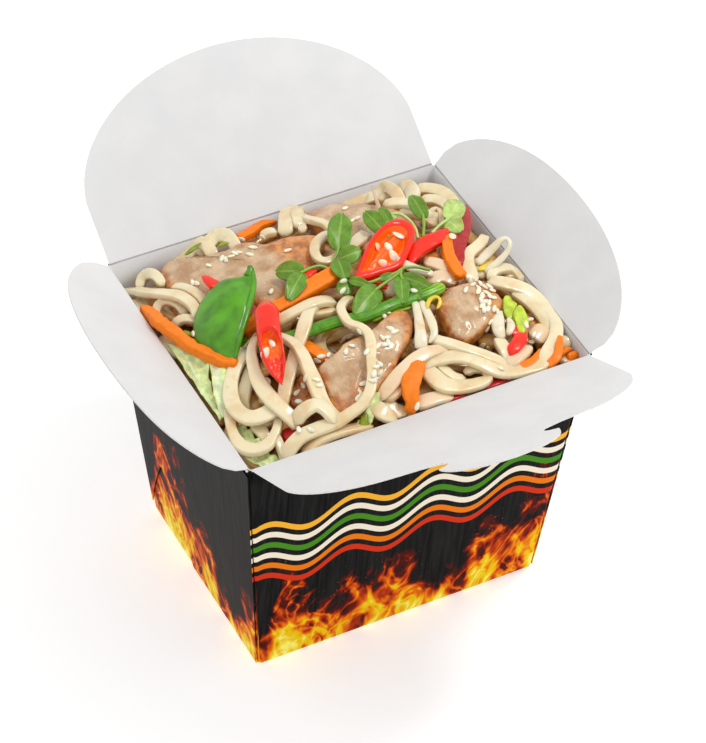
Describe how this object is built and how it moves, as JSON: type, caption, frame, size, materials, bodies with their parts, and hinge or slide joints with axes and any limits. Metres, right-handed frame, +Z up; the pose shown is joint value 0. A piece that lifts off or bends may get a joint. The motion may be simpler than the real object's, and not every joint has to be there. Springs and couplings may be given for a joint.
{
  "type": "noodle takeaway box",
  "caption": "Open paperboard takeaway box with four hinged lid flaps, filled above the rim with flat noodles, pork, vegetables and young greens.",
  "frame": {"origin": "centre of the base's underside, on the surface the box stands on", "axes": "+Z up, +X right along the front wall, -Y to the front wall, whose flap carries the tongue"},
  "size_m": [0.1657, 0.2053, 0.1347],
  "materials": {
    "carton": "satin printed board, white inside",
    "flap": "satin white inside, dark print outside",
    "noodle": "moist, slightly glossy",
    "pork": "moist fried meat",
    "pepper": "moist, glossy",
    "chilli": "glossy skin",
    "carrot": "moist",
    "lettuce": "thin leaf",
    "stalk": "moist, ribbed",
    "pea": "satin skin",
    "sprout": "moist, translucent",
    "spring_leaf": "thin leaf",
    "young_leaf": "thin leaf",
    "pale_leaf": "thin leaf"
  },
  "bodies": {
    "root": {"carton": "carton", "noodles": "noodle", "pork_bit_left": "pork", "pork_bit_right": "pork", "pork_bit_back": "pork", "pork_back": "pork", "pork_long": "pork", "pork_front": "pork", "pork_cube": "pork", "pepper_front_left": "pepper", "pepper_front_middle": "pepper", "pepper_front_right": "pepper", "pepper_strip": "pepper", "chilli_strip": "chilli", "chilli_bit_left": "chilli", "chilli_bit_middle": "chilli", "chilli_bit_right": "chilli", "chilli_wedge": "chilli", "chilli_ring": "chilli", "chilli_long": "chilli", "carrot_back": "carrot", "carrot_corner": "carrot", "carrot_right": "carrot", "carrot_end": "carrot", "carrot_long": "carrot", "carrot_front": "carrot", "carrot_side": "carrot", "carrot_left": "carrot", "lettuce_left": "lettuce", "lettuce_corner": "lettuce", "lettuce_front": "lettuce", "spring_onion": "stalk", "snow_pea": "pea", "sprout_middle": "sprout", "onion_pale": "sprout", "curl_right": "sprout", "curl_yellow": "sprout", "onion_cut_upper": "spring_leaf", "onion_cut_lower": "spring_leaf", "greens_centre": "young_leaf", "greens_left": "young_leaf", "greens_front": "young_leaf", "greens_right": "young_leaf", "greens_back": "young_leaf", "greens_behind": "young_leaf", "greens_far": "young_leaf", "greens_pale": "pale_leaf"},
    "flap_front": {"flap_front": "flap"},
    "flap_back": {"flap_back": "flap"},
    "flap_right": {"flap_right": "flap"},
    "flap_left": {"flap_left": "flap"}
  },
  "joints": [
    {"name": "front_crease", "type": "hinge", "parent": "root", "child": "flap_front", "pos_m": [0, -0.05165, 0.1003], "axis": [-1, 0, 0], "range_deg": [-112, 86]},
    {"name": "back_crease", "type": "hinge", "parent": "root", "child": "flap_back", "pos_m": [0, 0.05165, 0.1003], "axis": [1, 0, 0], "range_deg": [-121, 79]},
    {"name": "right_crease", "type": "hinge", "parent": "root", "child": "flap_right", "pos_m": [0.05815, 0, 0.1003], "axis": [0, -1, 0], "range_deg": [-117, 53]},
    {"name": "left_crease", "type": "hinge", "parent": "root", "child": "flap_left", "pos_m": [-0.05815, 0, 0.1003], "axis": [0, 1, 0], "range_deg": [-110, 56]}
  ]
}
